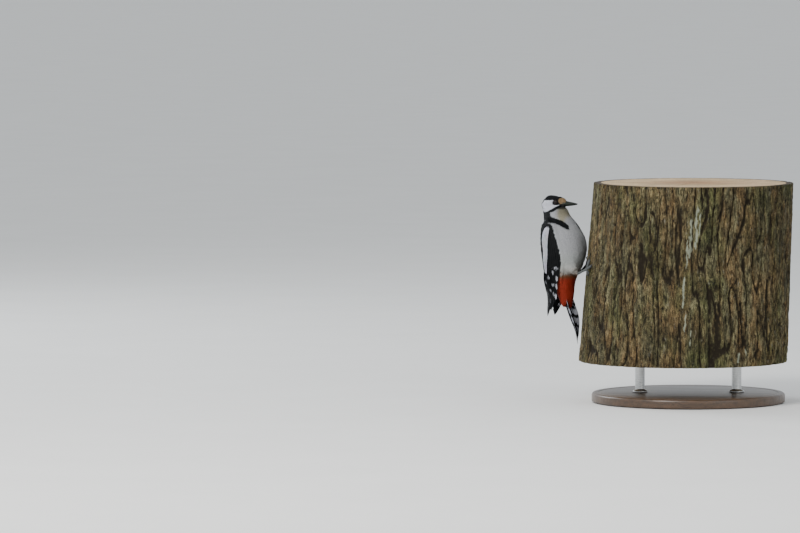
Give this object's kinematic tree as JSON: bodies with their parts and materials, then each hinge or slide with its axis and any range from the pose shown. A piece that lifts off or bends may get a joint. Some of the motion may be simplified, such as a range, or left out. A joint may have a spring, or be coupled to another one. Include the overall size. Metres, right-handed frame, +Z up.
{
  "type": "great spotted woodpecker model on a trunk perch",
  "caption": "Life-size still model of a great spotted woodpecker clinging upright to a short cut length of trunk, its tail propped on the bark, on a plain display stand.",
  "frame": {"origin": "middle of the underside of the display stand's base", "axes": "+Z up; the bird clings to the trunk's -X side; the view from -Y shows its right flank and breast"},
  "size_m": [0.3649, 0.2994, 0.3177],
  "materials": {
    "black_plumage": "glossy blue-black feathers with white patches and spots",
    "white_plumage": "soft greyish white to buff feathers, red under the tail",
    "bill_horn": "slate grey horn, satin",
    "foot_skin": "grey scaled skin",
    "claw_horn": "dark horn",
    "eye_glass": "wet dark red-brown eye",
    "bark": "rough furrowed grey-brown bark with a sawn top",
    "stand_wood": "dark stained wood, satin",
    "stand_steel": "brushed steel"
  },
  "bodies": {
    "root": {"head": "black_plumage", "neck": "white_plumage", "trunk": "white_plumage", "wing_right": "black_plumage", "wing_left": "black_plumage", "tail": "black_plumage", "thigh_right": "white_plumage", "thigh_left": "white_plumage", "foot_right": "foot_skin", "foot_left": "foot_skin", "claw_right_inner": "claw_horn", "claw_right_middle": "claw_horn", "claw_right_outer": "claw_horn", "claw_right_hind": "claw_horn", "claw_left_inner": "claw_horn", "claw_left_middle": "claw_horn", "claw_left_outer": "claw_horn", "claw_left_hind": "claw_horn", "bill_upper": "bill_horn", "bill_lower": "bill_horn", "eye_right": "eye_glass", "eye_left": "eye_glass", "perch_trunk": "bark", "stand_base": "stand_wood", "stand_rod_left": "stand_steel", "stand_rod_right": "stand_steel"}
  },
  "joints": []
}
